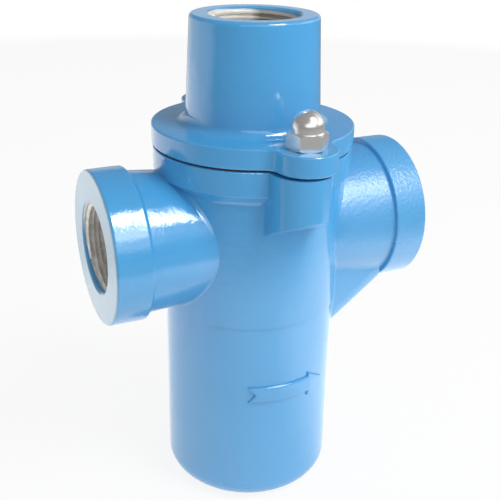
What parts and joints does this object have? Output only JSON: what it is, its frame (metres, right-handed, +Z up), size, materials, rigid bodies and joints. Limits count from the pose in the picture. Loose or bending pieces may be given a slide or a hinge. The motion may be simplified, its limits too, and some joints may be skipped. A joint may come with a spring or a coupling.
{
  "type": "steam trap",
  "caption": "Thermostatic steam trap: closed cast barrel with in-line screwed side ports, a slanted passage to the outlet and a bolted cover with a threaded neck.",
  "frame": {"origin": "centre of the flat base, on the barrel's axis", "axes": "+Z up the barrel's axis, +X out of the outlet port"},
  "size_m": [0.1574, 0.1266, 0.2381],
  "materials": {
    "blue_enamel": "glossy sky-blue stoved enamel over cast iron",
    "machined_iron": "bare machined iron of the threads and joint faces",
    "gasket_sheet": "dark compressed gasket sheet",
    "stainless": "bright turned stainless steel",
    "spring_steel": "drawn spring wire",
    "brass": "turned brass",
    "wax": "expanding wax charge",
    "seal_rubber": "black moulded rubber"
  },
  "bodies": {
    "housing": {"body": "blue_enamel", "cover": "blue_enamel", "cover_gasket": "gasket_sheet", "cover_studs": "stainless", "cap_nuts": "stainless", "seat_plate": "stainless", "seat_gasket": "gasket_sheet", "return_spring": "spring_steel", "spring_cage": "stainless", "cage_screws": "stainless", "overtravel_spring": "spring_steel", "spring_cup": "stainless", "cup_ring": "stainless", "base_plate": "stainless", "cage_posts": "stainless", "post_nuts": "stainless", "strainer_screen": "stainless", "strainer_base_ring": "stainless", "strainer_top_ring": "stainless"},
    "valve": {"valve_disc": "stainless", "valve_stem": "stainless", "stem_nut": "stainless", "spring_plate": "stainless", "push_rod": "stainless"},
    "element": {"element_housing": "brass", "filling_plug": "brass", "thermal_charge": "wax", "element_gland": "brass", "rod_seal": "seal_rubber"}
  },
  "joints": [
    {"name": "valve_lift", "type": "slide", "parent": "housing", "child": "valve", "axis": [0, 0, 1], "range_m": [0, 0.006], "stiffness_N_per_m": 1500, "springref_m": -0.004, "deforming": ["return_spring"]},
    {"name": "element_overtravel", "type": "slide", "parent": "housing", "child": "element", "axis": [0, 0, -1], "range_m": [0, 0.004], "stiffness_N_per_m": 5000, "springref_m": -0.006, "deforming": ["overtravel_spring"]}
  ]
}
